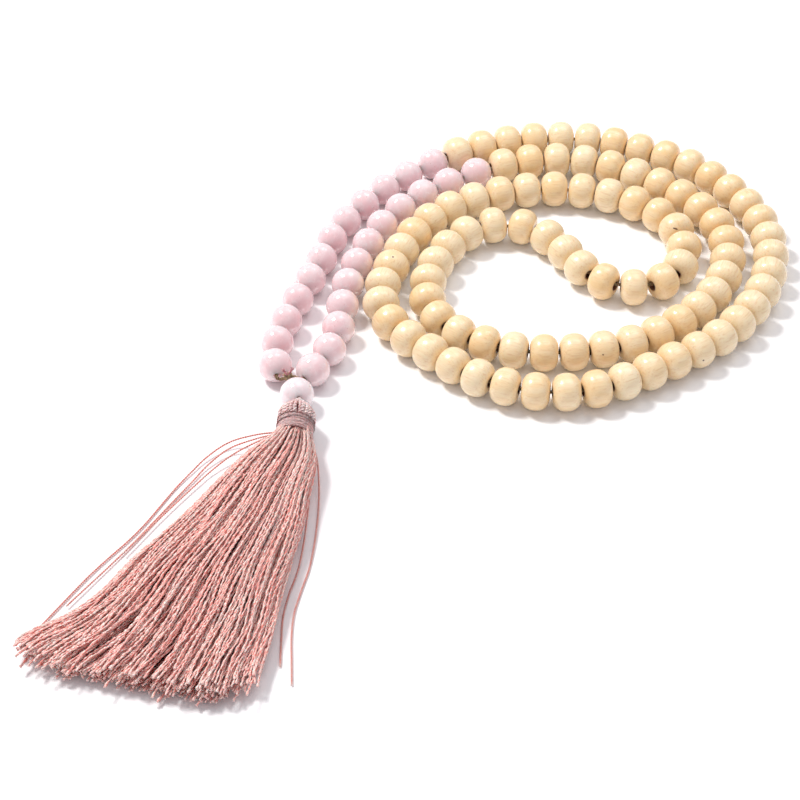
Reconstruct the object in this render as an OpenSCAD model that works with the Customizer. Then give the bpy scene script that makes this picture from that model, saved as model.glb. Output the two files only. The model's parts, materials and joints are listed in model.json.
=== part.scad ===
// A mala of prayer beads lying flat. Wooden beads are wound in a double spiral, and both
// ends of the strand lead through rose quartz beads to one guru bead and a silk tassel.
// +Z is up and the beads rest on Z = 0. The tassel points towards -Y. The origin is under
// the middle of the whole piece.

/* [Quartz beads] */
// Diameter of a rose quartz bead
quartz_d = 7.8; // [7.5:0.1:7.8]
// Hole through a rose quartz bead
quartz_bore = 1.4; // [1.2:0.1:1.8]
// Spacing of the quartz beads along the cord
quartz_pitch = 8.05; // [8:0.05:8.15]

/* [Wooden beads] */
// Widest diameter of a wooden bead
wood_d = 8.8; // [8.4:0.1:8.8]
// Thickness of a wooden bead along its hole
wood_w = 6.5; // [6.2:0.1:6.6]
// Hole through a wooden bead
wood_bore = 2; // [1.4:0.1:2.4]
// Closest spacing of the wooden beads along the cord
wood_pitch = 6.88; // [6.8:0.02:7]
// Space kept between two wooden beads where the strand bends
bend_gap = 0.1; // [0.05:0.05:0.2]

/* [Cord] */
// Diameter of the stringing cord
cord_d = 1; // [0.7:0.1:1]
// Space between two lengths of cord at each fold
fold_gap = 0.3; // [0.2:0.1:0.4]
// Diameter of the knot above the guru bead
knot_d = 2.2; // [1.6:0.1:2.4]

/* [Tassel] */
// Diameter of the domed head
head_d = 8.8; // [8:0.1:8.8]
// Diameter of the binding thread wound round the neck
band_d = 8.4; // [8:0.1:8.6]
// Width of the binding
band_w = 4.8; // [4:0.2:5]
// Space between the guru bead and the head, where the hanging loop shows
loop_gap = 1.3; // [1.2:0.1:1.4]
// Spare space at the line where the skirt folds
skirt_fold_gap = 3; // [2.6:0.2:3.6]

/* [Hidden] */
$fn = 64;
QUARTZ_PER_SIDE = 12;
WOOD_COUNT = 90;
WOOD_PER_GROUP = 5;
LINKS = 6;
BEADS = WOOD_COUNT + 2 * QUARTZ_PER_SIDE;
BEADS_PER_LINK = QUARTZ_PER_SIDE / LINKS;
GROUPS = WOOD_COUNT / WOOD_PER_GROUP;
CORD_SIDES = 8;
STEPS = 8;
// How much of the turn over two beads' lengths each bead leans away from its neighbour
LEAN_SHARE = 0.625;

// The cord's route seen from above: out along the left strand, round the outer turn and
// the inner turn to the bight in the middle, and back again to the right strand.
ROUTE = [
    [-36, 0], [-37, 9], [-35, 19], [-31, 31], [-27, 42], [-24, 53], [-18, 63], [-10, 73],
    [0, 81], [13, 88], [26, 91], [40, 91], [54, 86], [66, 79], [75, 68], [81, 55],
    [81, 40], [76, 26], [66, 13], [53, 4], [39, -4], [25, -6], [11, -2], [0, 7],
    [-9, 16], [-13, 26], [-11, 36], [-7, 47], [-1, 57], [7, 64], [20, 69], [34, 70],
    [47, 66], [58, 57], [61, 45], [57, 35], [49, 31], [40, 33], [34, 41], [28, 51],
    [20, 56], [12, 55], [5, 49], [0, 39], [-2, 28], [1, 19], [9, 12], [20, 8],
    [33, 8], [46, 11], [58, 19], [67, 30], [71, 42], [70, 55], [61, 68], [49, 77],
    [36, 82], [22, 81], [9, 76], [-4, 67], [-13, 55], [-18, 42], [-21, 31], [-22, 19],
    [-24, 9], [-30, -1]
];

// Middle of the guru bead, the way its hole points, and the way the tassel's head points
GURU_AT = [-31.2, -6, quartz_d / 2];
GURU_WAY = [0.15, -0.9, 0.4];
HEAD_WAY = [-0.08, -0.99, -0.13];
// Knot that gathers both ends of the cord
KNOT_AT = [-33.4, -0.8, 4.8];
// Space round the knot, before the guru bead's hole and round the binding's core
KNOT_GAP = 0.03;
ENTRY_GAP = 0.3;
BINDING_GAP = 0.05;
// The two knotted thread ends above the knot
TAIL_WAYS = [[-0.35, -0.25, 0.9], [0.4, -0.05, 0.9]];
TAIL_D = 0.5;
TAIL_L = 1.2;

// The skirt's left edge, right edge, lowest and highest point at stations from its root
SKIRT = [
    [[-35.5, -21.3], [-27.5, -22.1], 0.3, 8.2],
    [[-41, -26], [-26.2, -27], 0, 9],
    [[-47.5, -35.5], [-27.5, -37], 0, 9],
    [[-54, -45], [-28.5, -47], 0, 8.6],
    [[-58.5, -51], [-30.5, -56], 0, 8.4],
    [[-63.5, -57], [-32, -64], 0, 8],
    [[-69, -66.5], [-33.5, -74], 0, 7.4],
    [[-76, -74], [-35, -83], 0.3, 6.8],
    [[-85, -79], [-38, -91], 0.8, 6.2],
    [[-83, -86], [-45, -96], 1, 5.6]
];
// Stations on either side of the line where the skirt folds
FOLD_AFTER = 3;
SKIRT_SIDES = 20;
// Power that squares off the skirt's oval outline; 1 leaves it an ellipse
SQUARENESS = 0.8;

function two_digits(i) = i < 10 ? str("0", i) : str(i);
LEFT_NAMES = [for (i = [1:QUARTZ_PER_SIDE]) str("quartz_left_", two_digits(i))];
RIGHT_NAMES = [for (i = [1:QUARTZ_PER_SIDE]) str("quartz_right_", two_digits(i))];
WOOD_NAMES = [for (i = [1:GROUPS]) str("wood_beads_", two_digits(i))];
LINK_NAMES = [for (i = [1:LINKS]) str("strand_cord_", i)];

function unit(v) = v / norm(v);
function curve(a, b, c, d, t) =
    (2 * b + (c - a) * t + (2 * a - 5 * b + 4 * c - d) * t * t
        + (3 * b - a - 3 * c + d) * t * t * t) / 2;
function route_point(i) =
    i < 0 ? 2 * ROUTE[0] - ROUTE[1] :
    i < len(ROUTE) ? ROUTE[i] : 2 * ROUTE[i - 1] - ROUTE[i - 2];

// The smooth route and the distance along it of each of its points
path = concat([for (i = [0:len(ROUTE) - 2], k = [0:STEPS - 1])
    curve(route_point(i - 1), ROUTE[i], ROUTE[i + 1], route_point(i + 2), k / STEPS)],
    [ROUTE[len(ROUTE) - 1]]);
function running(steps) =
    [for (i = 0, s = 0; i <= len(steps); s = i < len(steps) ? s + steps[i] : s, i = i + 1) s];
run = running([for (i = [1:len(path) - 1]) norm(path[i] - path[i - 1])]);
route_length = run[len(run) - 1];
xs = [for (i = [0:len(path) - 1]) [run[i], path[i].x]];
ys = [for (i = [0:len(path) - 1]) [run[i], path[i].y]];
function along(s) = [lookup(s, xs), lookup(s, ys)];

// How far the strand turns at s, from one bead's length before it to one after
function turn_at(s) =
    let (a = along(s) - along(s - wood_pitch), b = along(s + wood_pitch) - along(s))
    acos(min(1, a * b / norm(a) / norm(b)));
// Wooden beads stand further apart where the strand turns, so that their shoulders clear
function pitch_at(s) =
    let (lean = turn_at(s) * LEAN_SHARE)
    max(wood_pitch, (wood_w + (wood_d - wood_w) * sin(lean)) / cos(lean) + bend_gap);

// Distances along the route of the gaps between the beads
quartz_run = QUARTZ_PER_SIDE * quartz_pitch;
wood_run = route_length - 2 * quartz_run;
wood_steps = [for (i = [0:WOOD_COUNT - 1])
    pitch_at(quartz_run + (i + 0.5) * wood_run / WOOD_COUNT)];
wood_marks = running(wood_steps);
wood_scale = wood_run / wood_marks[WOOD_COUNT];
marks = concat(
    [for (i = [0:QUARTZ_PER_SIDE - 1]) i * quartz_pitch],
    [for (m = wood_marks) quartz_run + m * wood_scale],
    [for (i = [1:QUARTZ_PER_SIDE]) route_length - (QUARTZ_PER_SIDE - i) * quartz_pitch]);
function is_wood(i) = i >= QUARTZ_PER_SIDE && i < QUARTZ_PER_SIDE + WOOD_COUNT;
function gap_height(i) = (is_wood(i) || is_wood(i - 1) ? wood_d : quartz_d) / 2;
// The cord bends at these points, one in each gap, and runs straight through each bead
gaps = [for (i = [0:BEADS]) [each along(marks[i]), gap_height(i)]];

head_way = unit(HEAD_WAY);
guru_way = unit(GURU_WAY);
loop_at = GURU_AT + guru_way * (quartz_d / 2 + loop_gap / 2);
head_at = loop_at + head_way * (head_d + loop_gap) / 2;
band_start = 0.9;
core_d = band_d - 1.2;
end_d = cord_d * 0.8;

// Puts its children at a point with their Z axis along a direction
module pointed(at, way) {
    translate(at)
        rotate([0, acos(way.z / norm(way)), atan2(way.y, way.x)])
            children();
}

function ring_way(p, i) =
    i == 0 ? p[1] - p[0] :
    i == len(p) - 1 ? p[i] - p[i - 1] : unit(p[i] - p[i - 1]) + unit(p[i + 1] - p[i]);
function ring(at, way, d) =
    let (side = unit(cross(way, [0, 0, 1])), up = unit(cross(side, way)))
    [for (j = [0:CORD_SIDES - 1])
        let (a = 360 * (j + 0.5) / CORD_SIDES) at + (side * cos(a) + up * sin(a)) * d / 2];
// Joins rings of points, all with the same number of sides, into one closed solid
module loft(rings) {
    n = len(rings[0]);
    last = (len(rings) - 1) * n;
    polyhedron(
        points = [for (r = rings) each r],
        faces = concat(
            [[for (j = [0:n - 1]) j]],
            [for (i = [0:len(rings) - 2], j = [0:n - 1])
                [i * n + j, (i + 1) * n + j, (i + 1) * n + (j + 1) % n, i * n + (j + 1) % n]],
            [[for (j = [n - 1:-1:0]) last + j]]),
        convexity = 10);
}
// A tube along points, none of which lies straight above the one before
module cord(points, d = cord_d) {
    loft([for (i = [0:len(points) - 1]) ring(points[i], ring_way(points, i), d)]);
}
// The same points with half the fold's space taken off each end
function trimmed(p) =
    let (n = len(p) - 1, cut = fold_gap / 2)
    [for (i = [0:n])
        i == 0 ? p[0] + unit(p[1] - p[0]) * cut :
        i == n ? p[n] + unit(p[n - 1] - p[n]) * cut : p[i]];
function gap_stretch(first, last) = [for (i = [first:last]) gaps[i]];

// Turned bead round Z: a circle swept round the hole, which leaves rounded shoulders
module wood_bead() {
    swell = (wood_d - wood_w) / 2;
    rotate_extrude()
        difference() {
            translate([swell, 0]) circle(d = wood_w);
            translate([wood_bore / 2 - wood_d, -wood_d]) square([wood_d, 2 * wood_d]);
        }
}
module quartz_bead() {
    rotate_extrude()
        difference() {
            circle(d = quartz_d);
            translate([quartz_bore / 2 - quartz_d, -quartz_d]) square([quartz_d, 2 * quartz_d]);
        }
}
// Places a bead on the cord between gap i and the next
module on_cord(i) {
    pointed((gaps[i] + gaps[i + 1]) / 2, gaps[i + 1] - gaps[i]) children();
}

module wood_beads(group) {
    first = QUARTZ_PER_SIDE + group * WOOD_PER_GROUP;
    color("wheat")
        for (i = [first:first + WOOD_PER_GROUP - 1]) on_cord(i) wood_bead();
}
module quartz_left(i) {
    color("mistyrose") on_cord(i) quartz_bead();
}
module quartz_right(i) {
    color("mistyrose") on_cord(BEADS - 1 - i) quartz_bead();
}
module coil_cord() {
    color("saddlebrown")
        cord(trimmed(gap_stretch(QUARTZ_PER_SIDE, BEADS - QUARTZ_PER_SIDE)));
}
// The left and right lengths of cord that lift together, counted from the guru bead
module strand_cord(link) {
    near = link * BEADS_PER_LINK;
    far = near + BEADS_PER_LINK;
    color("saddlebrown") {
        cord(trimmed(gap_stretch(near, far)));
        cord(trimmed(gap_stretch(BEADS - far, BEADS - near)));
    }
}
// Both ends of the cord meet in the knot, and the doubled cord runs on through the guru bead
function from_knot(p) = KNOT_AT + unit(p - KNOT_AT) * (knot_d / 2 + KNOT_GAP);
module gathering_cord() {
    left = gaps[0] + unit(KNOT_AT - gaps[0]) * 2 * fold_gap;
    right = gaps[BEADS] + unit(KNOT_AT - gaps[BEADS]) * 2 * fold_gap;
    entry = GURU_AT - guru_way * (quartz_d / 2 + ENTRY_GAP);
    color("saddlebrown") {
        cord([left, from_knot(left)], end_d);
        cord([right, from_knot(right)], end_d);
        cord([from_knot(entry), entry, GURU_AT, GURU_AT + guru_way * (quartz_d / 2 - 0.1)]);
    }
}
module gathering_knot() {
    color("saddlebrown") translate(KNOT_AT) sphere(d = knot_d);
}
module knot_tails() {
    color("indianred")
        for (way = TAIL_WAYS)
            pointed(KNOT_AT + unit(way) * (knot_d / 2 + 0.05), way)
                cylinder(d1 = TAIL_D, d2 = TAIL_D * 1.4, h = TAIL_L);
}
module guru_bead() {
    color("lavenderblush") pointed(GURU_AT, guru_way) quartz_bead();
}
module hanging_loop() {
    color("rosybrown") translate(loop_at) sphere(d = loop_gap - 0.3);
}
// Dome of folded yarn with the core that the binding is wound on
module tassel_head() {
    color("rosybrown")
        pointed(head_at, head_way) {
            intersection() {
                sphere(d = head_d);
                translate([0, 0, band_start - head_d]) cylinder(d = 2 * head_d, h = head_d);
            }
            cylinder(d = core_d, h = band_start + band_w);
        }
}
module binding_band() {
    color("palevioletred")
        pointed(head_at + head_way * (band_start + BINDING_GAP), head_way)
            difference() {
                cylinder(d = band_d, h = band_w);
                translate([0, 0, -1]) cylinder(d = core_d + 2 * BINDING_GAP, h = band_w + 2);
            }
}

// A flattened outline between a station's left and right edges
function skirt_ring(s) =
    let (middle = (s[0] + s[1]) / 2, half = (s[1] - s[0]) / 2,
        height = (s[2] + s[3]) / 2, rise = (s[3] - s[2]) / 2)
    [for (j = [0:SKIRT_SIDES - 1])
        let (a = 360 * (j + 0.5) / SKIRT_SIDES, c = cos(a), n = sin(a))
        [each middle + half * sign(c) * pow(abs(c), SQUARENESS),
            height + rise * sign(n) * pow(abs(n), SQUARENESS)]];
// Where the skirt folds: midway between two stations
fold_near = SKIRT[FOLD_AFTER];
fold_far = SKIRT[FOLD_AFTER + 1];
// A station moved along the skirt, towards the next one, by a distance at its middle
function moved(s, next, by) =
    let (step = ((next[0] + next[1]) - (s[0] + s[1])) / 2, share = by / norm(step))
    [for (k = [0:3]) s[k] + (next[k] - s[k]) * share];
fold_span = norm(((fold_far[0] + fold_far[1]) - (fold_near[0] + fold_near[1])) / 2);
upper_end = moved(fold_near, fold_far, (fold_span - skirt_fold_gap) / 2);
lower_start = moved(fold_near, fold_far, (fold_span + skirt_fold_gap) / 2);
module skirt_upper() {
    color("rosybrown")
        loft([for (s = concat([for (i = [0:FOLD_AFTER]) SKIRT[i]], [upper_end])) skirt_ring(s)]);
}
module skirt_lower() {
    color("rosybrown")
        loft([for (s = concat([lower_start], [for (i = [FOLD_AFTER + 1:len(SKIRT) - 1]) SKIRT[i]]))
            skirt_ring(s)]);
}

for (i = [0:GROUPS - 1]) wood_beads(i);
coil_cord();
for (i = [0:LINKS - 1]) strand_cord(i);
for (i = [0:QUARTZ_PER_SIDE - 1]) quartz_left(i);
for (i = [0:QUARTZ_PER_SIDE - 1]) quartz_right(i);
gathering_cord();
gathering_knot();
knot_tails();
guru_bead();
hanging_loop();
tassel_head();
binding_band();
skirt_upper();
skirt_lower();
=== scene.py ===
"""Looks of a mala: lacquered wooden beads, rose quartz beads, a waxed cord and a silk tassel."""
import json
import math

import bmesh
import bpy
import numpy as np
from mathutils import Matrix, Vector


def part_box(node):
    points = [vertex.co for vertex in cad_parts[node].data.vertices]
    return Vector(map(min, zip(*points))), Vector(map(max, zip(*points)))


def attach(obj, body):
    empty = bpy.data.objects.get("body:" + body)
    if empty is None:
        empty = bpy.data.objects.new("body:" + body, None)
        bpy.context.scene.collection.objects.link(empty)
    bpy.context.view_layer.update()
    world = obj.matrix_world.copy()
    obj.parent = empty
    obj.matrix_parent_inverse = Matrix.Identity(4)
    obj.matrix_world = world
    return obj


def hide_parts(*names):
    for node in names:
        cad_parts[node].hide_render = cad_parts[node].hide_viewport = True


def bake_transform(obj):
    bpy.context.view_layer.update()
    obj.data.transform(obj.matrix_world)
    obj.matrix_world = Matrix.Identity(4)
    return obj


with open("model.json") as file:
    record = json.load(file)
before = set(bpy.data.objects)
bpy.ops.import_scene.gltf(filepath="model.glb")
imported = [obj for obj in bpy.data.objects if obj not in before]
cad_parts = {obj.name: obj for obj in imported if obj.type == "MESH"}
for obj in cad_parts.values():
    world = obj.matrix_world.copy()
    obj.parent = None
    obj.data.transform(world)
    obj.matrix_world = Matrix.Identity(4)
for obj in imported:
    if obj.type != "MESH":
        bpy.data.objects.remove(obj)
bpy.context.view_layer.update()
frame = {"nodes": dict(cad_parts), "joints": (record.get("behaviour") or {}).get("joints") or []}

MM = 0.001
UP = np.array([0.0, 0.0, 1.0])
rng = np.random.default_rng(20)


# ---------------------------------------------------------------- camera, floor and light
def look_from(data, name, target, direction, distance):
    """A camera or light at a distance from the target, facing it."""
    o = bpy.data.objects.new(name, data)
    bpy.context.scene.collection.objects.link(o)
    way = Vector(direction).normalized()
    o.location = Vector(target) + way * distance
    o.rotation_euler = way.to_track_quat("Z", "Y").to_euler()
    return o


CAMERA_TARGET = (-0.008, -0.008, 0.004)
CAMERA_DISTANCE = 0.524
ELEVATION = math.radians(42.1)
camera_data = bpy.data.cameras.new("camera")
camera_data.lens = 105
camera_data.sensor_width = 36
camera = look_from(camera_data, "camera", CAMERA_TARGET,
                   (0, -math.cos(ELEVATION), math.sin(ELEVATION)), CAMERA_DISTANCE)
bpy.context.scene.camera = camera


def area_light(name, direction, distance, size, watts, colour=(1, 1, 1)):
    """A round lamp that faces the camera's target."""
    data = bpy.data.lights.new(name, "AREA")
    data.shape = "DISK"
    data.size = size
    data.energy = watts
    data.color = colour
    return look_from(data, name, CAMERA_TARGET, direction, distance)


area_light("key", (-0.46, 0.29, 0.84), distance=1.2, size=0.3, watts=12.0, colour=(1.0, 0.985, 0.965))
area_light("overhead", (0.25, 0.35, 0.9), distance=1.3, size=0.8, watts=3.6)

world = bpy.data.worlds.new("studio")
world.use_nodes = True
world.node_tree.nodes["Background"].inputs["Color"].default_value = (0.965, 0.95, 1.0, 1)
world.node_tree.nodes["Background"].inputs["Strength"].default_value = 0.56
bpy.context.scene.world = world
bpy.context.scene.view_settings.view_transform = "Standard"


# ---------------------------------------------------------------- materials
class Shader:
    """A node material on one Principled BSDF, built up a node at a time."""

    def __init__(self, name, **constants):
        self.material = bpy.data.materials.new(name)
        self.material.use_nodes = True
        self.tree = self.material.node_tree
        self.surface = self.tree.nodes["Principled BSDF"]
        for key, value in constants.items():
            self.surface.inputs[key.replace("_", " ")].default_value = value

    def node(self, kind, out=0, inputs=(), **settings):
        n = self.tree.nodes.new("ShaderNode" + kind)
        for key, value in settings.items():
            setattr(n, key, value)
        for key, value in dict(inputs).items():
            if isinstance(value, bpy.types.NodeSocket):
                self.tree.links.new(value, n.inputs[key])
            else:
                n.inputs[key].default_value = value
        return n.outputs[out]

    def attribute(self, name, out="Fac"):
        return self.node("Attribute", out, attribute_name=name)

    def math(self, operation, *values):
        return self.node("Math", 0, dict(enumerate(values)), operation=operation)

    def vector(self, operation, *values, out=0):
        return self.node("VectorMath", out, dict(enumerate(values)), operation=operation)

    def noise(self, vector, scale, w=0.0, detail=3.0, rough=0.5):
        return self.node("TexNoise", "Fac", {"Vector": vector, "Scale": scale, "W": w, "Detail": detail,
                                             "Roughness": rough}, noise_dimensions="4D")

    def ramp(self, value, low, high, out_low=0.0, out_high=1.0):
        return self.node("MapRange", "Result", {"Value": value, "From Min": low, "From Max": high,
                                                "To Min": out_low, "To Max": out_high},
                         interpolation_type="SMOOTHSTEP")

    def mix(self, factor, a, b):
        n = self.tree.nodes.new("ShaderNodeMix")
        n.data_type = "RGBA"
        for key, value in ((0, factor), (6, a), (7, b)):
            if isinstance(value, bpy.types.NodeSocket):
                self.tree.links.new(value, n.inputs[key])
            else:
                n.inputs[key].default_value = (*value, 1) if isinstance(value, tuple) else value
        return n.outputs[2]

    def link(self, **sockets):
        for key, value in sockets.items():
            self.tree.links.new(value, self.surface.inputs[key.replace("_", " ")])

    def bump(self, height, strength, distance):
        self.link(Normal=self.node("Bump", "Normal", {"Height": height, "Strength": strength,
                                                      "Distance": distance}))


def lacquered_wood():
    """Pale turned wood under clear lacquer, with faint grain along the hole and a dark bore."""
    s = Shader("lacquered_wood", Coat_Weight=0.55, Coat_Roughness=0.09, Coat_IOR=1.5, IOR=1.46,
               Subsurface_Weight=0.12, Subsurface_Radius=(1.0, 0.6, 0.3), Subsurface_Scale=0.0012)
    place, seed = s.attribute("bead", "Vector"), s.attribute("seed")
    w = s.math("MULTIPLY", seed, 71.0)
    fine = s.noise(s.vector("MULTIPLY", place, (2.6, 2.6, 0.22)), 1.0, w, 5.0, 0.6)
    broad = s.noise(s.vector("MULTIPLY", place, (0.5, 0.5, 0.12)), 1.0, w, 2.0)
    pores = s.noise(s.vector("MULTIPLY", place, (7.0, 7.0, 1.1)), 1.0, w, 2.0, 0.7)
    tone = s.mix(s.ramp(seed, 0.0, 1.0), (0.88, 0.71, 0.46), (0.87, 0.62, 0.33))
    tone = s.mix(s.ramp(broad, 0.35, 0.7, 0.0, 0.5), tone, (0.91, 0.77, 0.55))
    tone = s.mix(s.ramp(fine, 0.46, 0.72, 0.0, 0.6), tone, (0.72, 0.45, 0.22))
    tone = s.mix(s.ramp(pores, 0.66, 0.8, 0.0, 0.35), tone, (0.50, 0.30, 0.14))
    hole = s.attribute("hole")
    tone = s.mix(s.ramp(hole, 0.0, 0.8, 0.0, 0.95), tone, (0.17, 0.055, 0.026))
    flaw_a, flaw_b = s.attribute("flaw_a", "Vector"), s.attribute("flaw_b", "Vector")
    flaw = s.math("ADD", s.vector("DISTANCE", place, flaw_a, out="Value"),
                  s.vector("DISTANCE", place, flaw_b, out="Value"))
    span = s.vector("DISTANCE", flaw_a, flaw_b, out="Value")
    thin = s.math("ADD", s.math("MULTIPLY", span, 2.0), 0.5)
    flaw = s.math("MULTIPLY", s.math("SUBTRACT", flaw, span), thin)
    flaw = s.math("ADD", flaw, s.ramp(fine, 0.3, 0.7, -0.06, 0.06))
    tone = s.mix(s.ramp(flaw, 0.16, 0.3, 0.93, 0.0), tone, (0.09, 0.03, 0.02))
    s.link(Base_Color=tone, Roughness=s.ramp(fine, 0.3, 0.8, 0.26, 0.44))
    s.bump(s.math("ADD", s.math("MULTIPLY", fine, 0.6), s.math("MULTIPLY", pores, 0.3)), 0.25, 0.00006)
    return s.material


def quartz(name, cloud, deep, veil):
    """Translucent milky stone with cloudy veils, fine fractures and a few rusty specks."""
    s = Shader(name, IOR=1.54, Specular_IOR_Level=0.3, Coat_Weight=0.2, Coat_Roughness=0.02,
               Transmission_Weight=0.1, Subsurface_Weight=1.0,
               Subsurface_Radius=(1.0, 0.72, 0.72), Subsurface_Scale=0.008)
    place, seed = s.attribute("bead", "Vector"), s.attribute("seed")
    w = s.math("MULTIPLY", seed, 53.0)
    swirl = s.noise(place, 0.22, w, 2.0, 0.5)
    bent = s.vector("ADD", place, s.vector("SCALE", s.node("TexNoise", "Color", {
        "Vector": place, "Scale": 0.3, "W": w}, noise_dimensions="4D")))
    veins = s.noise(bent, 0.5, w, 5.0, 0.55)
    line = s.math("ABSOLUTE", s.math("SUBTRACT", veins, 0.5))
    tone = s.mix(s.ramp(swirl, 0.3, 0.72), cloud, deep)
    tone = s.mix(s.ramp(line, 0.0, 0.022, 0.42, 0.0), tone, veil)
    tone = s.mix(s.ramp(seed, 0.3, 1.0, 0.0, 0.3), tone, deep)
    specks = s.noise(place, 2.4, w, 1.0, 0.3)
    tone = s.mix(s.ramp(specks, 0.76, 0.80, 0.0, 0.7), tone, (0.50, 0.13, 0.11))
    s.link(Base_Color=tone, Roughness=s.ramp(swirl, 0.3, 0.7, 0.1, 0.2))
    s.bump(veins, 0.05, 0.00003)
    return s.material


def thread(name, light, dark, painted_shade, painted_highlight, shine):
    """Spun thread in each yarn's tone, with a painted highlight on its ply crests and painted shade in its
    grooves that turn with its twist, painted sparkles and dark specks along it, and a painted highlight on
    cut ends.
    """
    s = Shader(name, Sheen_Weight=0.15, Sheen_Roughness=0.4, IOR=1.5, Subsurface_Weight=0.3,
               Subsurface_Radius=(1.0, 0.25, 0.2), Subsurface_Scale=0.0006)
    fibre, tone_and_shade_of = s.attribute("fibre", "Vector"), s.attribute("tone")

    def grain(fineness, seed, detail):
        return s.noise(s.vector("MULTIPLY", fibre, fineness), 1.0, s.math("MULTIPLY", tone_and_shade_of, seed), detail)

    streak_and_sheen = grain((0.7, 2.6, 2.6), 37.0, 3.0)
    blotch = grain((0.16, 0.1, 0.1), 91.0, 2.0)
    twist_light_mask = s.math("ABSOLUTE", s.node("SeparateXYZ", "Y", {"Vector": fibre}))
    painted_sparkle = grain((4.2, 1.2, 1.2), 53.0, 1.0)
    # The tone attribute holds each yarn's own random tone and, for deep skirt layers, the dome's deeper ribs
    # and the binding's border turns, painted shade
    tone = s.mix(s.ramp(tone_and_shade_of, 0.0, 1.0), light, dark)
    tone = s.mix(s.ramp(blotch, 0.35, 0.7, 0.0, 0.6), tone, dark)
    # Painted sheen: bright streaks along the fibres in the highlight colour
    tone = s.mix(s.ramp(streak_and_sheen, 0.46, 0.7, 0.0, 0.75), tone, painted_highlight)
    # Painted highlight on the ply crests, and painted shade in the grooves between the plies
    tone = s.mix(s.ramp(twist_light_mask, 1.2, 1.9, 0.0, 0.4), tone, painted_highlight)
    tone = s.mix(s.ramp(twist_light_mask, 0.0, 1.1, 0.7, 0.0), tone, painted_shade)
    # Painted shade in small dark specks and painted glints in small bright ones, with fewer glints on darker
    # yarns
    tone = s.mix(s.ramp(painted_sparkle, 0.44, 0.32, 0.0, 0.75), tone, painted_shade)
    lit = s.math("SUBTRACT", 1.0, s.math("MULTIPLY", tone_and_shade_of, 0.75))
    tone = s.mix(s.math("MULTIPLY", s.ramp(painted_sparkle, 0.52, 0.64, 0.0, 1.0), lit), tone, painted_highlight)
    # Painted highlight on cut ends, set by the tip attribute
    tone = s.mix(s.attribute("tip"), tone, painted_highlight)
    s.link(Base_Color=tone, Roughness=s.ramp(streak_and_sheen, 0.3, 0.7, shine + 0.12, shine - 0.06))
    s.bump(streak_and_sheen, 0.5, 0.00005)
    return s.material


WOOD = lacquered_wood()
ROSE = quartz("rose_quartz", (0.89, 0.64, 0.655), (0.855, 0.56, 0.58), (0.95, 0.81, 0.81))
PALE = quartz("pale_quartz", (0.83, 0.70, 0.72), (0.80, 0.64, 0.665), (0.92, 0.84, 0.85))
SILK = thread("silk_yarn", light=(0.94, 0.50, 0.42), dark=(0.80, 0.22, 0.17),
              painted_shade=(0.58, 0.06, 0.045), painted_highlight=(1.0, 0.92, 0.87), shine=0.3)
DOME = thread("silk_dome", light=(0.93, 0.66, 0.62), dark=(0.48, 0.16, 0.15),
              painted_shade=(0.20, 0.04, 0.04), painted_highlight=(1.0, 0.95, 0.93), shine=0.3)
# Near-black red under the dome's ribs: painted shade in the gaps between them
SHADED_CORE = thread("silk_core_painted_shade", light=(0.26, 0.05, 0.05), dark=(0.16, 0.025, 0.03),
              painted_shade=(0.08, 0.012, 0.014), painted_highlight=(0.34, 0.10, 0.10), shine=0.6)
WRAP = thread("silk_binding", light=(1.0, 0.55, 0.52), dark=(0.72, 0.17, 0.16),
              painted_shade=(0.46, 0.08, 0.09), painted_highlight=(1.0, 0.92, 0.90), shine=0.28)
CORD = thread("waxed_cord", light=(0.30, 0.205, 0.10), dark=(0.17, 0.085, 0.04),
              painted_shade=(0.11, 0.05, 0.025), painted_highlight=(0.48, 0.36, 0.20), shine=0.5)
TAIL = thread("thread_tails", light=(0.55, 0.15, 0.19), dark=(0.42, 0.08, 0.11),
              painted_shade=(0.25, 0.03, 0.05), painted_highlight=(0.85, 0.55, 0.56), shine=0.5)


# ---------------------------------------------------------------- mesh tools
def unit(v):
    """The vectors scaled to a length of one."""
    return v / np.linalg.norm(v, axis=-1, keepdims=True)


class Build:
    """Gathers vertices in millimetres, faces and point values, and makes one object of them."""

    def __init__(self):
        self.points, self.faces, self.values, self.count = [], [], {}, 0

    def add(self, points, faces, **values):
        self.points.append(points)
        self.faces += [f + self.count for f in faces]
        for key, value in values.items():
            value = np.asarray(value, float)
            width = points.shape[:1] + ((3,) if value.shape[-1:] == (3,) and value.ndim > 1 else ())
            self.values.setdefault(key, []).append(np.broadcast_to(value, width))
        self.count += len(points)

    def object(self, name, material, slot, body, *nodes):
        mesh = bpy.data.meshes.new(name)
        points = np.concatenate(self.points) * MM
        mesh.vertices.add(len(points))
        mesh.vertices.foreach_set("co", points.astype(np.float32).ravel())
        sizes = np.concatenate([np.full(len(f), f.shape[1]) for f in self.faces])
        corners = np.concatenate([f.ravel() for f in self.faces])
        mesh.loops.add(len(corners))
        mesh.loops.foreach_set("vertex_index", corners.astype(np.int32))
        mesh.polygons.add(len(sizes))
        mesh.polygons.foreach_set("loop_start", (np.cumsum(sizes) - sizes).astype(np.int32))
        mesh.polygons.foreach_set("use_smooth", np.ones(len(sizes), bool))
        mesh.update(calc_edges=True)
        for key, parts in self.values.items():
            data = np.concatenate(parts)
            vector = data.ndim > 1
            layer = mesh.attributes.new(key, "FLOAT_VECTOR" if vector else "FLOAT", "POINT")
            layer.data.foreach_set("vector" if vector else "value", data.astype(np.float32).ravel())
        mesh.materials.append(material)
        o = bpy.data.objects.new(name, mesh)
        bpy.context.scene.collection.objects.link(o)
        if body:
            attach(o, body)
        if nodes:
            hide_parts(*nodes)
        return o


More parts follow.
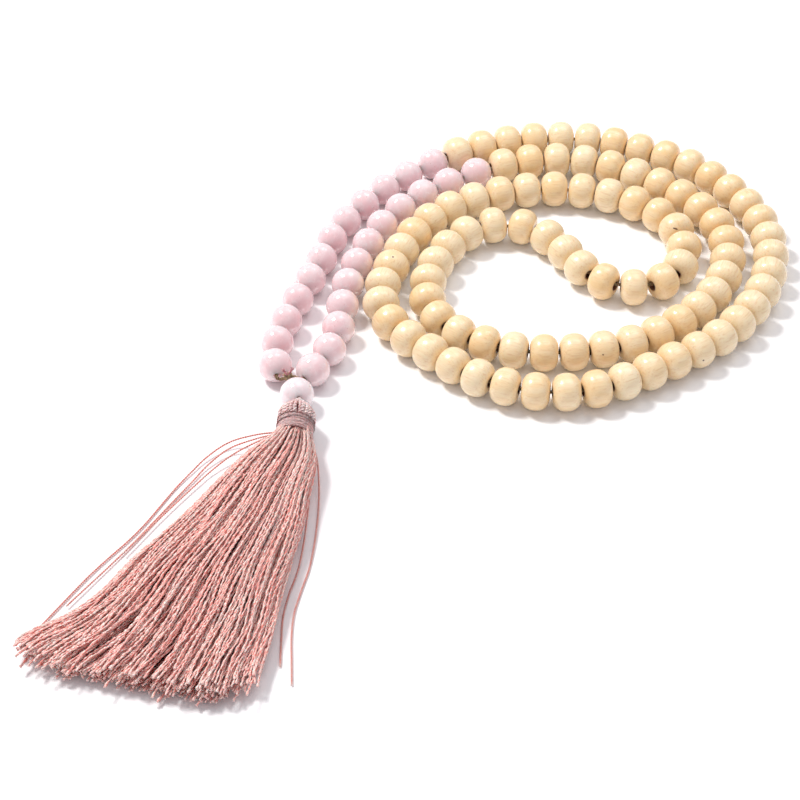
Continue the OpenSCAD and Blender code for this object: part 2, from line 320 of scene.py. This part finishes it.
def grid_faces(rings, sides, closed=False):
    """Quads between rings of points, round each ring, and round from the last to the first if closed."""
    i = np.arange(rings if closed else rings - 1)[:, None]
    j = np.arange(sides)[None]
    a, b = i * sides, (i + 1) % rings * sides
    k = (j + 1) % sides
    return np.stack([a + j, b + j, b + k, a + k], -1).reshape(-1, 4)


def frames(paths, up=None):
    """Tangent, normal and side along paths (tube, ring, xyz).

    The normal leans to up, or turns as little as it can.
    """
    tangent = unit(np.gradient(paths, axis=1))
    if up is None:
        normal = np.empty_like(tangent)
        start = np.where(np.abs(tangent[:, 0, 2:]) < 0.9, UP, np.array([1.0, 0, 0]))
        for i in range(paths.shape[1]):
            last = start if i == 0 else normal[:, i - 1]
            normal[:, i] = unit(last - np.sum(last * tangent[:, i], -1, keepdims=True) * tangent[:, i])
    else:
        up = np.broadcast_to(up, tangent.shape)
        normal = unit(up - np.sum(up * tangent, -1, keepdims=True) * tangent)
    return tangent, normal, np.cross(tangent, normal)


def lengths(paths):
    """Distance along each path, at each of its rings."""
    step = np.linalg.norm(np.diff(paths, axis=1), axis=-1)
    return np.concatenate([np.zeros((len(paths), 1)), np.cumsum(step, 1)], 1)


def tubes(build, paths, radius, sides, lay=0.0, up=None, lobe=0.0, **values):
    """Closed tubes along paths. lay is the length of thread in which its ridges turn once round it."""
    count, rings = paths.shape[:2]
    _, normal, side = frames(paths, up)
    run = lengths(paths)
    spin = run / lay * math.tau if np.any(lay) else np.zeros_like(run)
    base = np.arange(sides) / sides * math.tau
    angle = spin[..., None] + base
    wide = np.broadcast_to(radius, (count, rings))[..., None] * (1 + lobe * np.cos(2 * base))
    points = (paths[:, :, None] + normal[:, :, None] * (np.cos(angle) * wide)[..., None]
              + side[:, :, None] * (np.sin(angle) * wide)[..., None])
    fibre = np.stack(np.broadcast_arrays(run[..., None], np.cos(base) * 2, np.sin(base) * 2), -1)
    quads = grid_faces(rings, sides)
    first = np.arange(count)[:, None, None] * rings * sides
    ends = np.arange(sides)[None]
    caps = np.concatenate([(first[:, 0] + ends), (first[:, 0] + (rings - 1) * sides + ends[:, ::-1])])
    flat = {k: np.broadcast_to(np.asarray(v, float)[..., None], (count, rings, sides)).ravel()
            for k, v in values.items()}
    build.add(points.reshape(-1, 3), [(quads[None] + first).reshape(-1, 4), caps],
              fibre=fibre.reshape(-1, 3), **flat)


def plied(build, path, radius, plies, lay, sides=7, up=None, fray=0.0, **values):
    """Thread of a few plies laid round each other along one path."""
    _, normal, side = frames(path[None], up)
    run = lengths(path[None])[0]
    across = radius / (1 + 1 / math.sin(math.pi / plies)) / math.sin(math.pi / plies)
    ply = radius - across
    end = np.clip((run - run[-1] + 2 * radius) / (2 * radius), 0, 1)
    for k in range(plies):
        a = run / lay * math.tau + k * math.tau / plies
        off = across * (1 + fray * end)
        strand = path + normal[0] * (np.cos(a) * off)[:, None] + side[0] * (np.sin(a) * off)[:, None]
        tubes(build, strand[None], ply * 1.06, sides, lay * 0.6,
              **{key: np.asarray(v)[None] if np.ndim(v) else v for key, v in values.items()})


def smooth(points, step):
    """Catmull-Rom curve through points, resampled to about even steps."""
    p = np.concatenate([2 * points[:1] - points[1:2], points, 2 * points[-1:] - points[-2:-1]])
    t = np.linspace(0, 1, 24, endpoint=False)[:, None]
    parts = []
    for a, b, c, d in zip(p[:-3], p[1:-2], p[2:-1], p[3:]):
        parts.append((2 * b + (c - a) * t + (2 * a - 5 * b + 4 * c - d) * t * t
                      + (3 * b - a - 3 * c + d) * t ** 3) / 2)
    fine = np.concatenate(parts + [points[-1:]])
    return resample(fine, step)


def resample(fine, step):
    """The same path in even steps of about this length."""
    run = lengths(fine[None])[0]
    s = np.linspace(0, run[-1], max(3, int(run[-1] / step) + 1))
    return np.stack([np.interp(s, run, fine[:, k]) for k in range(3)], -1)


# ---------------------------------------------------------------- where the CAD parts are
def cad_points(node):
    """The corner points of a node's CAD part, in millimetres."""
    mesh = frame["nodes"][node].data
    points = np.empty(len(mesh.vertices) * 3)
    mesh.vertices.foreach_get("co", points)
    return points.reshape(-1, 3) / MM


def cad_solids(node):
    """The points of each separate solid of a node."""
    b = bmesh.new()
    b.from_mesh(frame["nodes"][node].data)
    bmesh.ops.remove_doubles(b, verts=b.verts, dist=1e-6)
    left, solids = set(b.verts), []
    while left:
        stack, found = [left.pop()], []
        while stack:
            v = stack.pop()
            found.append(v)
            for e in v.link_edges:
                other = e.other_vert(v)
                if other in left:
                    left.remove(other)
                    stack.append(other)
        solids.append(np.array([v.co for v in found]) / MM)
    b.free()
    return sorted(solids, key=lambda s: tuple(s.mean(0).round(3)))


def round_axis(points):
    """Middle and axis of a solid of revolution."""
    middle = points.mean(0)
    values, ways = np.linalg.eigh(np.cov((points - middle).T))
    odd = 0 if values[1] - values[0] > values[2] - values[1] else 2
    return middle, ways[:, odd]


joints = {j["name"]: j for j in frame["joints"]}


def joint_frame(name):
    """Where a joint is, in millimetres, and the way its axis points."""
    j = joints[name]
    return np.array(j["pos_m"]) / MM, unit(np.array(j["axis"], float))


# ---------------------------------------------------------------- beads
QUARTZ_D, QUARTZ_BORE = 7.8, 1.4
WOOD_D, WOOD_BORE = 8.8, 2.0
BARREL = 0.87  # power of the wooden beads' outline: 1 is round, less is squarer
RIM = 0.14  # from the wall of the bore to where the outside begins
FLAW_DEPTH = 0.985  # of the way from a bead's middle to its surface
FAR = np.array([0.0, 0.0, 99.0])


def bead(build, middle, axis, thick, swell, power, bore, arc, sides, wobble, seed, hole_edge, flaw=None):
    """A bead turned round its hole: a rounded outside, softened rims and the wall of the bore."""
    half = thick / 2
    limit = math.acos(max(0.03, (bore / 2 + RIM - swell) / half) ** (1 / power))
    a = np.linspace(limit, -limit, arc)
    r, z = swell + half * np.cos(a) ** power, half * np.sign(a) * np.abs(np.sin(a)) ** power
    # The softened rim: out from the wall of the bore, and (below zero) back into the bead
    rim = np.array([[0.06, -0.015], [0.015, -0.07], [0.0, -0.18]])
    low = np.stack([bore / 2 + rim[:, 0], z[-1] - rim[:, 1]], -1)
    wall = np.stack([np.full(5, bore / 2), np.linspace(low[-1, 1], -low[-1, 1], 7)[1:-1]], -1)
    profile = np.concatenate([np.stack([r, z], -1), low, wall, low[::-1] * [1, -1]])
    turn = np.arange(sides) / sides * math.tau
    phase = rng.uniform(0, math.tau, 4)
    size = rng.normal(0, wobble, 3)
    r, z = profile[:, :1], profile[:, 1:]
    out = np.clip((r - bore / 2) / 1.5, 0, 1)
    lumps = size[0] * np.cos(2 * turn + phase[0]) + 0.4 * size[1] * np.cos(3 * turn + phase[1])
    wide = r * (1 + out * lumps)
    z = z * (1 + out * size[2] * np.cos(turn + phase[2]))
    local = np.stack([wide * np.cos(turn), wide * np.sin(turn), np.broadcast_to(z, wide.shape)], -1)
    local = local.reshape(-1, 3)
    across = unit(np.cross(axis, UP + 0.01))
    side = np.cross(axis, across)
    basis = np.stack([across, side, axis])
    points = middle + local @ basis
    quads = grid_faces(len(profile), sides, closed=True)[:, ::-1]
    hole = np.repeat(np.clip((bore / 2 + hole_edge - profile[:, 0]) / hole_edge, 0, 1), sides)
    ends = (FAR, FAR)
    if flaw is not None:
        ends = [(basis @ unit(np.array(f))) * (swell + half) * FLAW_DEPTH for f in flaw]
    build.add(points, [quads], bead=local, seed=seed, hole=hole, flaw_a=ends[0][None] + 0 * local,
              flaw_b=ends[1][None] + 0 * local)


def quartz_piece(node, joint, material, slot):
    """A round stone about its spin joint's axis, in place of its CAD part."""
    middle, axis = joint_frame(joint)
    build = Build()
    bead(build, middle, axis, thick=QUARTZ_D, swell=0.0, power=1.0, bore=QUARTZ_BORE, arc=44, sides=80,
         wobble=0.002, seed=rng.random(), hole_edge=0.5)
    build.object(node + "_stone", material, slot, node, node)
    return middle


SIDES = ("left", "right")
QUARTZ_PER_SIDE = 12
stones = {}
for side in SIDES:
    for i in range(1, QUARTZ_PER_SIDE + 1):
        node = f"quartz_{side}_{i:02d}"
        stones[node] = quartz_piece(node, node + "_spin", ROSE, "rose_quartz")
guru = quartz_piece("guru_bead", "guru_bead_spin", PALE, "pale_quartz")

# Wooden beads in their order along the cord, each as thick as its neighbours leave room for
wood, axes, group_of = [], [], []
at = stones[f"quartz_left_{QUARTZ_PER_SIDE:02d}"]
groups = sorted(n for n in frame["nodes"] if n.startswith("wood_beads_"))
for group in groups:
    left = [round_axis(s) for s in cad_solids(group)]
    while left:
        k = min(range(len(left)), key=lambda k: float(np.linalg.norm(left[k][0] - at)))
        middle, axis = left.pop(k)
        axis = axis * np.sign(np.dot(axis, middle - at))
        at = middle
        wood.append(middle)
        axes.append(axis)
        group_of.append(group)


BEAD_GAP = 0.03
THICKEST, THINNEST = 7.1, 6.3


def room(i, k):
    """How thick bead i can be before its shoulder meets bead k's."""
    if not 0 <= k < len(wood):
        return THICKEST
    bend = math.acos(min(1.0, float(np.dot(axes[i], axes[k])))) / 2
    apart = float(np.linalg.norm(wood[i] - wood[k])) - BEAD_GAP
    dual = 2 / (2 - BARREL)
    shoulder = (math.cos(bend) ** dual + math.sin(bend) ** dual) ** (1 / dual)
    return (math.cos(bend) * apart - WOOD_D * math.sin(bend)) / (shoulder - math.sin(bend))


# Marks on single beads, counted along the wood: ways from the bead's middle to the mark's two ends
FLAWS = {
    21: [(0.2, -1, 0.1)] * 2,
    36: [(0.1, -0.3, 1)] * 2,
    47: [(0, 0.5, 0.8)] * 2,
    49: [(-0.3, -0.7, 0.7), (0.1, -0.8, 0.6)],
    71: [(-0.1, -0.9, 0.4)] * 2,
}
builds = {group: Build() for group in groups}
for i, (middle, axis, group) in enumerate(zip(wood, axes, group_of)):
    thick = np.clip(min(room(i, i - 1), room(i, i + 1)) - abs(rng.normal(0, 0.05)), THINNEST, THICKEST)
    wide = WOOD_D * (1 - abs(rng.normal(0, 0.008)))
    bead(builds[group], middle, axis, thick, swell=(wide - thick) / 2, power=BARREL, bore=WOOD_BORE,
         arc=32, sides=72, wobble=0.007, seed=rng.random(), hole_edge=0.45, flaw=FLAWS.get(i))
for group, build in builds.items():
    build.object(group + "_lacquered", WOOD, "lacquered_wood", "coil", group)


# ---------------------------------------------------------------- cord
CORD_R = 0.46
PLIES, CORD_LAY = 3, 3.4
CORD_STEP = 0.22
GURU_CORD_R, GURU_CORD_LAY = 0.42, 2.2


def cord_piece(name, body, node, runs, radius=CORD_R, lay=CORD_LAY):
    """The cord along each run of points, as one object in place of a node."""
    build = Build()
    for points in runs:
        plied(build, smooth(np.array(points), CORD_STEP), radius, PLIES, lay, tone=rng.random(), tip=0.0)
    build.object(name, CORD, "stringing_cord", body, node)


left = [stones[f"quartz_left_{i:02d}"] for i in range(1, QUARTZ_PER_SIDE + 1)]
right = [stones[f"quartz_right_{i:02d}"] for i in range(1, QUARTZ_PER_SIDE + 1)]


def between(a, b):
    return (a + b) / 2


def strand_end(side_beads, joint):
    """Where the cord leaves the first stone, on the guru bead's side."""
    middle, axis = joint_frame(joint)
    axis = axis * np.sign(np.dot(axis, side_beads[0] - side_beads[1]))
    return middle + axis * np.linalg.norm(side_beads[0] - side_beads[1]) / 2


ends = {"left": strand_end(left, "quartz_left_01_spin"), "right": strand_end(right, "quartz_right_01_spin")}
run = [between(left[-1], wood[0])]
for i, middle in enumerate(wood):
    run += [middle, between(middle, wood[i + 1] if i + 1 < len(wood) else right[-1])]
cord_piece("coil_cord_laid", "coil", "coil_cord", [run])
for link in range(1, QUARTZ_PER_SIDE // 2 + 1):
    runs = []
    for name, beads in (("left", left), ("right", right)):
        k = 2 * link - 2
        near = ends[name] if k == 0 else between(beads[k - 1], beads[k])
        beyond = wood[0] if name == "left" else wood[-1]
        far = between(beads[k + 1], beads[k + 2] if k + 2 < len(beads) else beyond)
        runs.append([near, beads[k], between(beads[k], beads[k + 1]), beads[k + 1], far])
    cord_piece(f"strand_cord_{link}_laid", f"strand_link_{link}", f"strand_cord_{link}", runs)

knot = sum(np.array(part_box("gathering_knot"))) / 2 / MM
_, guru_way = joint_frame("guru_bead_spin")
guru_way = guru_way * np.sign(-guru_way[1])
entry = guru - guru_way * (QUARTZ_D / 2)
exit_ = guru + guru_way * (QUARTZ_D / 2 - 0.2)
into_left, into_right = unit(left[0] - left[1]), unit(right[0] - right[1])
DROOP = np.array([0.7, -0.4, -0.4])  # how far the left end sags out of its stone
left_end, right_end = ends["left"], ends["right"]
cord_piece("gathering_cord_laid", "guru_link", "gathering_cord", [
    [left_end - into_left * 0.8, left_end + into_left * 0.3, left_end + DROOP, knot - 0.4 * UP, knot],
    [right_end - into_right * 0.8, right_end + into_right * 0.3, between(right_end, knot) + 0.2 * UP, knot],
    [knot, entry - guru_way * 0.4, entry + guru_way * 0.6, guru, exit_],
], radius=GURU_CORD_R, lay=GURU_CORD_LAY)

KNOT_SCALE, KNOT_CORD_R, KNOT_LAY = 0.27, 0.4, 1.8
t = np.linspace(0, math.tau, 90)
trefoil = np.stack([np.sin(t) + 2 * np.sin(2 * t), np.cos(t) - 2 * np.cos(2 * t), -1.3 * np.sin(3 * t)], -1)
build = Build()
plied(build, knot + trefoil * KNOT_SCALE, KNOT_CORD_R, PLIES, KNOT_LAY, tone=0.4, tip=0.0)
build.object("gathering_knot_tied", CORD, "stringing_cord", "guru_link", "gathering_knot")

HAIRS, HAIR_R = 7, 0.045
build = Build()
for solid in cad_solids("knot_tails"):
    tail = solid.mean(0)
    way = unit(tail - knot)
    bow = np.cross(way, UP) * 0.25
    path = smooth(np.array([knot + way * 0.5, tail - bow * 0.4, tail + way * 0.5 + bow,
                            tail + way * 0.95]), 0.08)
    plied(build, path, 0.27, 2, 0.9, fray=1.4, tone=rng.random(), tip=0.0)
    for k in range(HAIRS):
        out = unit(way + rng.normal(0, 0.42, 3))
        hair = smooth(np.array([path[-3], path[-1] + out * 0.12,
                                path[-1] + out * 0.38 + rng.normal(0, 0.05, 3)]), 0.08)
        # tip=0.6 paints a highlight along each hair
        tubes(build, hair[None], HAIR_R, 4, tone=rng.random(), tip=0.6)
build.object("knot_tails_frayed", TAIL, "thread_tails", "guru_link", "knot_tails")


# ---------------------------------------------------------------- tassel head
BAND_W, BAND_GAP, HEAD_R, BAND_R = 4.8, 0.95, 4.4, 4.2
band_middle, head_way = round_axis(cad_points("binding_band"))
head_way = head_way * np.sign(np.dot(head_way, band_middle - guru))
head = band_middle - head_way * (BAND_GAP + BAND_W / 2)
head_side = unit(np.cross(head_way, UP))
head_up = np.cross(head_side, head_way)
YARN_R = 0.26


def on_head(along, radius, turn):
    """Points at a distance past the head's middle, a distance out from its axis and an angle round it."""
    out = head_side * np.cos(turn)[..., None] + head_up * np.sin(turn)[..., None]
    return head + head_way * along[..., None] + out * radius[..., None]


def head_profile(s, out):
    """The dome from its pointed tip, s = 0, to where the yarn goes under the binding, s = 1."""
    a = np.clip(s / 0.8, 0, 1) * math.pi / 2
    down = np.clip((s - 0.8) / 0.2, 0, 1)
    along = -(np.cos(a) + 0.33 * np.cos(a) ** 5) * (HEAD_R - out) * 1.03 + down * 2.2
    radius = (1 - np.cos(a) ** 2.1) * (HEAD_R - out) - down ** 2 * 0.75
    return along, radius


# Ribs of folded yarn in two layers that lean opposite ways. Most begin a little below the tip
RIBS, RIB_R = 30, 0.46
build = Build()
s = np.linspace(0.012, 1, 60)
for k in range(RIBS * 2):
    layer = k % 2
    lean = (0.3 if layer else -0.15) + rng.normal(0, 0.04)
    turn = (k / RIBS / 2 + rng.normal(0, 0.005)) * math.tau + lean * s
    turn = turn + 0.03 * np.sin(s * 7 + rng.uniform(0, 6))
    start = rng.uniform(0, 0.12) if k % 4 else 0.0
    keep = s >= start
    along, radius = head_profile(s[keep], RIB_R * 0.8 + 0.3 * layer + rng.uniform(-0.06, 0.1))
    path = resample(on_head(along, radius, turn[keep]), 0.12)
    # Painted shade: the deeper layer (layer 1) gets darker tones than the upper one
    plied(build, path, RIB_R * (0.75 if layer else 1.0), 2, 1.7, sides=6, up=unit(path - head + 1e-6),
          tone=rng.random() * (1 if layer else 0.6), tip=0.0)
build.object("tassel_head_yarns", DOME, "silk_yarn", "tassel_head", "tassel_head")

# The yarn under the ribs and the binding, which closes the gaps between them; its near-black red is painted
# shade in those gaps
CORE_DEPTH, CORE_R, CORE_SIDES = 0.95, 3.65, 64
build = Build()
along, radius = head_profile(np.linspace(0.02, 1, 40), CORE_DEPTH)
under_band = np.linspace(along[-1], BAND_GAP + BAND_W - 0.4, 12)[1:]
along = np.concatenate([along, under_band])
radius = np.concatenate([radius, np.full(len(under_band), CORE_R)])
rings = len(along)
turn = np.broadcast_to(np.arange(CORE_SIDES) / CORE_SIDES * math.tau, (rings, CORE_SIDES))
along, radius = (np.repeat(v[:, None], CORE_SIDES, 1) for v in (along, radius))
points = on_head(along, radius, turn)
fibre = np.stack([along, np.cos(turn) * 9, np.sin(turn) * 9], -1)
first = np.arange(CORE_SIDES)[None]
last = first[:, ::-1] + (rings - 1) * CORE_SIDES
build.add(points.reshape(-1, 3), [grid_faces(rings, CORE_SIDES), first, last],
          fibre=fibre.reshape(-1, 3), tone=0.5, tip=0.0)
build.object("tassel_core", SHADED_CORE, "silk_yarn", "tassel_head")

# Binding thread wound in close turns, with a thicker turn at each border; the two border turns are dark, as
# painted shade in the creases at the band's edges
WRAPS, WRAP_R, WRAP_START = 13, 0.2, BAND_GAP + 0.45
WRAP_W = BAND_GAP + BAND_W - WRAP_START
build = Build()
turn = np.linspace(0, WRAPS * math.tau, WRAPS * 72)
drift = 0.06 * np.sin(turn * 1.03 + 0.6) + 0.04 * np.sin(turn * 2.31) + 0.03 * np.sin(turn * 0.37)
along = WRAP_START + WRAP_R + (WRAP_W - 2 * WRAP_R) * turn / turn[-1] + drift
radius = BAND_R - WRAP_R + 0.05 * np.sin(turn * 0.71) + 0.03 * np.sin(turn * 3.3) - 0.1
plied(build, on_head(along, radius, turn), WRAP_R * 1.15, 2, 0.9, sides=6, up=head_way, tone=0.15, tip=0.0)
# Dark tones on the two border turns: painted shade at the band's edges
for place, wide, tone in ((0.1, 0.22, 0.9), (WRAP_W - 0.05, 0.2, 1.0), (WRAP_W * 0.3, 0.22, 0.0)):
    turn = np.linspace(0, math.tau * 1.02, 90) + rng.uniform(0, 6)
    along = WRAP_START + place + 0.12 * np.sin(turn + rng.uniform(0, 6)) + np.linspace(-0.1, 0.1, 90)
    plied(build, on_head(along, np.full(90, BAND_R - 0.02), turn), wide, 2, 1.1, sides=6, up=head_way,
          tone=tone, tip=0.0)
build.object("binding_wound", WRAP, "silk_binding", "tassel_head", "binding_band")

# The loop of two yarns that the tassel hangs on, from the guru bead's hole to the head
pivot, _ = joint_frame("tassel_swing")
build = Build()
for k, off in enumerate((-0.22, 0.22)):
    shift = head_side * off
    path = smooth(np.array([pivot - guru_way * 0.95 + shift * 0.5, pivot + shift + UP * 0.1 * k,
                            pivot + head_way * 0.95 + shift * 1.2]), 0.1)
    plied(build, path, 0.26, 2, 1.1, tone=0.3 + 0.3 * k, tip=0.0)
build.object("hanging_loop_yarn", SILK, "silk_yarn", "hanging_loop", "hanging_loop")


# ---------------------------------------------------------------- tassel skirt
def fan_samples(nodes):
    """Points all over the CAD skirt, as distance from the head, angle from -Y and height."""
    found = []
    for node in nodes:
        mesh, points = frame["nodes"][node].data, cad_points(node)
        edges = np.empty(len(mesh.edges) * 2, int)
        mesh.edges.foreach_get("vertices", edges)
        a, b = points[edges[::2]], points[edges[1::2]]
        share = np.linspace(0, 1, 14)[:, None, None]
        found.append((a * (1 - share) + b * share).reshape(-1, 3))
    p = np.concatenate(found)
    d = p[:, :2] - head[:2]
    return np.hypot(d[:, 0], d[:, 1]), np.arctan2(d[:, 0], -d[:, 1]), p[:, 2]


far, angle, height = fan_samples(("skirt_upper", "skirt_lower"))
reach = far.max()
grid = np.arange(8.0, reach, 2.0)
rows = [np.abs(far - r) < 1.6 for r in grid]
edge_left = np.array([angle[m].min() for m in rows])
edge_right = np.array([angle[m].max() for m in rows])
floor_of = np.array([height[m].min() for m in rows])
top_of = np.array([height[m].max() for m in rows])
LEFT_CORNER, RIGHT_CORNER = 0.94, 0.84
edge_left[grid > LEFT_CORNER * reach] = edge_left[grid <= LEFT_CORNER * reach][-1]
edge_right[grid > RIGHT_CORNER * reach] = edge_right[grid <= RIGHT_CORNER * reach][-1]
neck = np.array([4.0, 5.0, 6.0])
neck_way = math.atan2(head_way[0], -head_way[1])
NECK_R = 3.55
grid = np.concatenate([neck, grid])
edge_left = np.concatenate([neck_way - np.arcsin(np.minimum(0.9, NECK_R / neck)), edge_left])
edge_right = np.concatenate([neck_way + np.arcsin(np.minimum(0.9, NECK_R / neck)), edge_right])
neck_z = head[2] + head_way[2] * neck
floor_of = np.concatenate([neck_z - NECK_R, floor_of])
top_of = np.concatenate([neck_z + NECK_R, top_of])


def eased(values):
    """Values smoothed over their neighbours."""
    ends = np.concatenate([[values[0]] * 2, values, [values[-1]] * 2])
    return np.convolve(ends, [0.12, 0.22, 0.32, 0.22, 0.12], "valid")


edge_left, edge_right, floor_of, top_of = (eased(v) for v in (edge_left, edge_right, floor_of, top_of))
end_angles = np.radians(np.arange(-40.0, 0.0, 1.5))
end_reach = eased(np.array([far[np.abs(angle - a) < math.radians(1.6)].max() for a in end_angles]))


def fan(place, layer, along):
    """Points of the skirt: place -1 left to 1 right, layer -1 low to 1 high, along in mm from the head."""
    share = (1 + place) / 2
    turn = np.interp(along, grid, edge_left) * (1 - share) + np.interp(along, grid, edge_right) * share
    low, high = np.interp(along, grid, floor_of), np.interp(along, grid, top_of)
    belly = np.clip(1 - np.abs(place) ** 2.4, 0.0, 1) ** 0.5
    z = (low + high) / 2 + layer * belly * ((high - low) / 2 - YARN_R)
    return np.stack([head[0] + along * np.sin(turn), head[1] - along * np.cos(turn),
                     np.maximum(z, YARN_R + 0.02)], -1)


LAYERS, COLUMNS, RINGS = 8, 64, 340
SKIRT_START = 4.2  # from the head's middle, under the binding
LEFT_END, RIGHT_END = 80, 74  # from the head's middle, near the ends of the skirt's two edges
HANK_PULL = 0.65  # how much of the way to the middle of its hank a yarn is drawn
FRAY = 1.4  # length of a yarn's loosened end
HANKS, CLUMPS = 13, 34
TWISTS, FLATNESS = (2.5, 7.0), 0.22
t = np.linspace(0, 1, RINGS)


def gather(place, count, jitter):
    """Which of so many bundles each yarn belongs to, and the bundle's middle."""
    k = np.clip(((place + 1) / 2 * count + rng.normal(0, jitter, len(place))).astype(int), 0, count - 1)
    return k, (k + 0.5) / count * 2 - 1


clump_phase = rng.uniform(0, math.tau, (CLUMPS, 3))
clump_pull = rng.uniform(0.15, 0.75, CLUMPS)
hank_rise = rng.normal(0, 0.4, (LAYERS, HANKS))
skirt = []
for layer in range(LAYERS):
    level = -1 + 2 * layer / (LAYERS - 1)
    # Where each yarn lies across the skirt, and how long it is
    place = (np.arange(COLUMNS) + 0.5 + rng.uniform(-0.45, 0.45, COLUMNS)) / COLUMNS * 2 - 1
    place = np.clip(place * (1.0 if layer % 2 else 0.985), -1, 1)
    end_angle = (np.interp(LEFT_END, grid, edge_left) * (1 - place) / 2
                 + np.interp(RIGHT_END, grid, edge_right) * (1 + place) / 2)
    length = np.interp(end_angle, end_angles, end_reach) - np.abs(rng.normal(0, 1.6, COLUMNS))
    length += np.where(rng.random(COLUMNS) < 0.08, rng.uniform(0.5, 3, COLUMNS), 0) - 0.8
    along = SKIRT_START + t[None] * (length[:, None] - SKIRT_START)
    # Small clumps all the way down, and thicker hanks near the neck
    clump, centre = gather(place, CLUMPS, 0.35)
    hank, middle = gather(place, HANKS, 0.15)
    phase = rng.uniform(0, math.tau, (COLUMNS, 3))
    # Sideways: each yarn's own waves, the waves of its clump, and the pull of its clump and its hank
    grow = np.clip(along / 80, 0, 1)
    waves = np.sin(along * 0.11 + phase[:, :1]) + 0.7 * np.sin(along * 0.31 + phase[:, 1:2])
    sway = (0.3 + grow) * 0.02 * waves
    share = clump_phase[clump]
    common = grow * 0.02 * np.sin(along * 0.07 + share[:, :1])
    pull = (clump_pull[clump][:, None] * (0.5 + 0.5 * np.sin(along * 0.2 + share[:, 1:2]))
            * np.clip(along / 25, 0, 1))
    bunch = HANK_PULL * np.clip((along - 5) / 3, 0, 1) * np.clip((34 - along) / 26, 0, 1)
    drift = rng.normal(0, 0.075, COLUMNS)[:, None] * grow ** 1.3
    spot = place[:, None] + (centre - place)[:, None] * pull + (middle - place)[:, None] * bunch
    spot = np.clip(spot + sway + common + drift, -1.02, 1.02)
    # Up and down: clumps and hanks are round, and lie over and under each other
    ridge = 0.2 * np.sin(along * 0.13 + share[:, 2:3]) - 0.3 * ((spot - centre[:, None]) * CLUMPS / 2) ** 2
    heap = (hank_rise[layer][hank][:, None] - 1.2 * ((spot - middle[:, None]) * HANKS / 2) ** 2) * bunch
    lift = 0.16 * np.sin(along * 0.1 + phase[:, 2:3]) + 0.4 * ridge
    rise = level + heap + np.clip(along / 30, 0, 1) * lift
    paths = fan(spot, np.clip(rise, -1.0, 1.08), along)
    wide = YARN_R * (0.74 + 0.26 * np.clip((along - 5) / 14, 0, 1)) * rng.normal(1, 0.12, COLUMNS)[:, None]
    tip = np.clip((along - length[:, None] + FRAY) / FRAY, 0, 1)
    # Each yarn's tone is partly random and partly darker on lower layers, as painted shade under the layers
    # above
    shade_below = 1 - layer / (LAYERS - 1)
    build = Build()
    # The tip value widens each frayed end and also paints a highlight on it
    tubes(build, paths, wide * (1 + 0.2 * tip), 4, rng.uniform(*TWISTS, (COLUMNS, 1)), up=UP, lobe=FLATNESS,
          tone=np.clip(0.55 * shade_below + 0.75 * rng.random(COLUMNS) - 0.1, 0, 1)[:, None], tip=0.35 * tip)
    skirt.append(build)


def polar(points):
    """Points given as distance from the head, degrees from -Y and height."""
    p = np.array(points, float)
    turn = np.radians(p[:, 1])
    return np.stack([head[0] + p[:, 0] * np.sin(turn), head[1] - p[:, 0] * np.cos(turn), p[:, 2]], -1)


# Loose yarns that have strayed from the skirt: they leave the neck, drop to the floor and run beside it
STRAYS = [
    [(5, -40, 4.5), (10, -70, 3), (18, -72, 1.2), (30, -57, 0.4), (45, -47, 0.4), (60, -44, 0.4),
     (78, -41, 0.4)],
    [(5, -35, 4.5), (10, -60, 3.5), (18, -66, 1.2), (30, -53, 0.4), (50, -44, 0.5), (70, -41, 0.8)],
    [(5, -30, 5), (12, -57, 3), (20, -57, 1.2), (35, -48, 0.8), (52, -43, 1.2)],
    [(5, 28, 4.5), (12, 23, 3), (24, 13, 1), (40, 6, 0.4), (56, 1, 0.4), (74, 1, 0.4)],
    [(5, 20, 5.5), (20, 10, 4), (40, 3, 1.5), (54, -1, 0.6), (69, -1, 0.4)],
]
build = Build()
for points in STRAYS:
    path = smooth(smooth(polar(points), 6), 0.16)
    run = lengths(path[None])[0]
    # The tip value paints a highlight on each stray's end
    plied(build, path, 0.25, 2, 1.1, sides=6, up=UP, fray=0.5, tone=1 - 0.3 * rng.random(),
          tip=0.6 * np.clip((run - run[-1] + 0.8) / 0.8, 0, 1))
skirt.append(build)

fold_at, fold_axis = joint_frame("skirt_fold")
down_skirt = unit(np.cross(fold_axis, UP))
down_skirt = down_skirt * np.sign(np.dot(down_skirt, fold_at - head))
for k, build in enumerate(skirt):
    name = "skirt_strays" if k == LAYERS else f"skirt_yarns_{k + 1}"
    o = build.object(name, SILK, "silk_yarn", None, *(("skirt_upper", "skirt_lower") if k < LAYERS else ()))
    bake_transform(o)


# ---------------------------------------------------------------- floor
floor = bpy.data.meshes.new("floor")
SPREAD = 3.0
square = ((-1, -1), (1, -1), (1, 1), (-1, 1))
floor.from_pydata([(x * SPREAD, y * SPREAD, 0) for x, y in square], [], [(0, 1, 2, 3)])
paper = Shader("paper_floor", Roughness=0.9, Specular_IOR_Level=0.0)
paper.surface.inputs["Base Color"].default_value = (0.97, 0.97, 0.98, 1)
floor.materials.append(paper.material)
floor = bpy.data.objects.new("floor", floor)
bpy.context.scene.collection.objects.link(floor)
